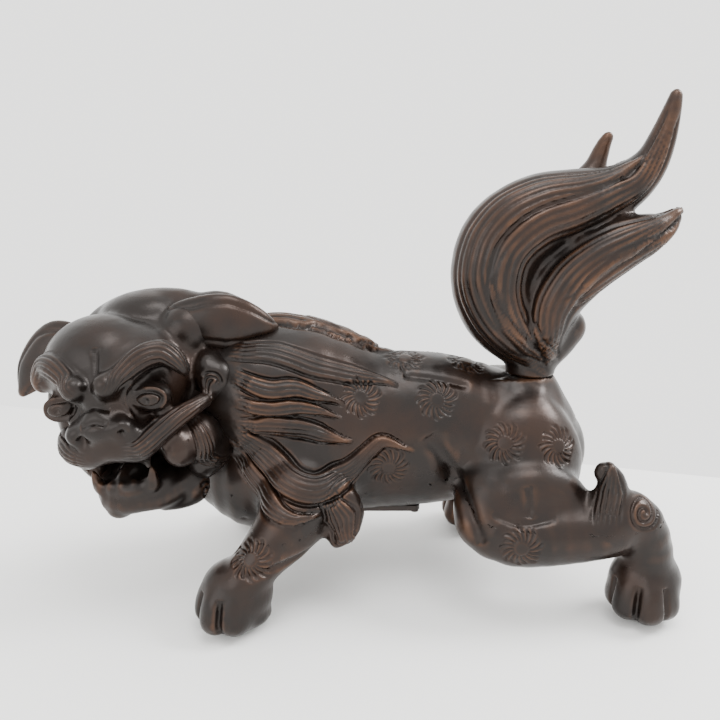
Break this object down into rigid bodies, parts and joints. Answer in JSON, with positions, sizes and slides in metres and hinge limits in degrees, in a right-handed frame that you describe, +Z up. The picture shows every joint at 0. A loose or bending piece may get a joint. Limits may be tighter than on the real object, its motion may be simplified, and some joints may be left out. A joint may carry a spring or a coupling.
{
  "type": "guardian lion figure",
  "caption": "Prowling guardian lion in hollow cast bronze, head turned to its left, with a flame-shaped tail plume that lifts out of its socket.",
  "frame": {"origin": "middle of the whole figure's bounding box, on the floor the paws stand on", "axes": "+Z up, -X the way the lion walks, -Y the lion's left side, which its head is turned to; +X towards the tail"},
  "size_m": [0.3488, 0.165, 0.2693],
  "materials": {
    "patinated_bronze": "dark brown patina, satin, rubbed reddish on high places",
    "fitting_bronze": "dull filed bronze, inside the figure",
    "plug_bronze": "dark brown patina, filed flat"
  },
  "bodies": {
    "lion": {"torso_casting": "patinated_bronze", "head_casting": "patinated_bronze", "lower_jaw": "patinated_bronze", "left_ear": "patinated_bronze", "right_ear": "patinated_bronze", "left_foreleg": "patinated_bronze", "right_foreleg": "patinated_bronze", "left_hindleg": "patinated_bronze", "right_hindleg": "patinated_bronze", "neck_collar": "fitting_bronze", "neck_pins": "fitting_bronze", "leg_cotters": "fitting_bronze", "jaw_pins": "fitting_bronze", "ear_pins": "fitting_bronze", "belly_plate_rivets": "fitting_bronze", "tail_socket": "fitting_bronze", "belly_plate": "plug_bronze", "core_plugs": "plug_bronze", "sole_plugs": "plug_bronze"},
    "tail": {"tail_plume": "patinated_bronze", "tail_tenon": "fitting_bronze", "tail_tenon_pin": "fitting_bronze"}
  },
  "joints": [
    {"name": "tail_lift", "type": "slide", "parent": "lion", "child": "tail", "axis": [0, 0, 1], "range_m": [0, 0.03]}
  ]
}
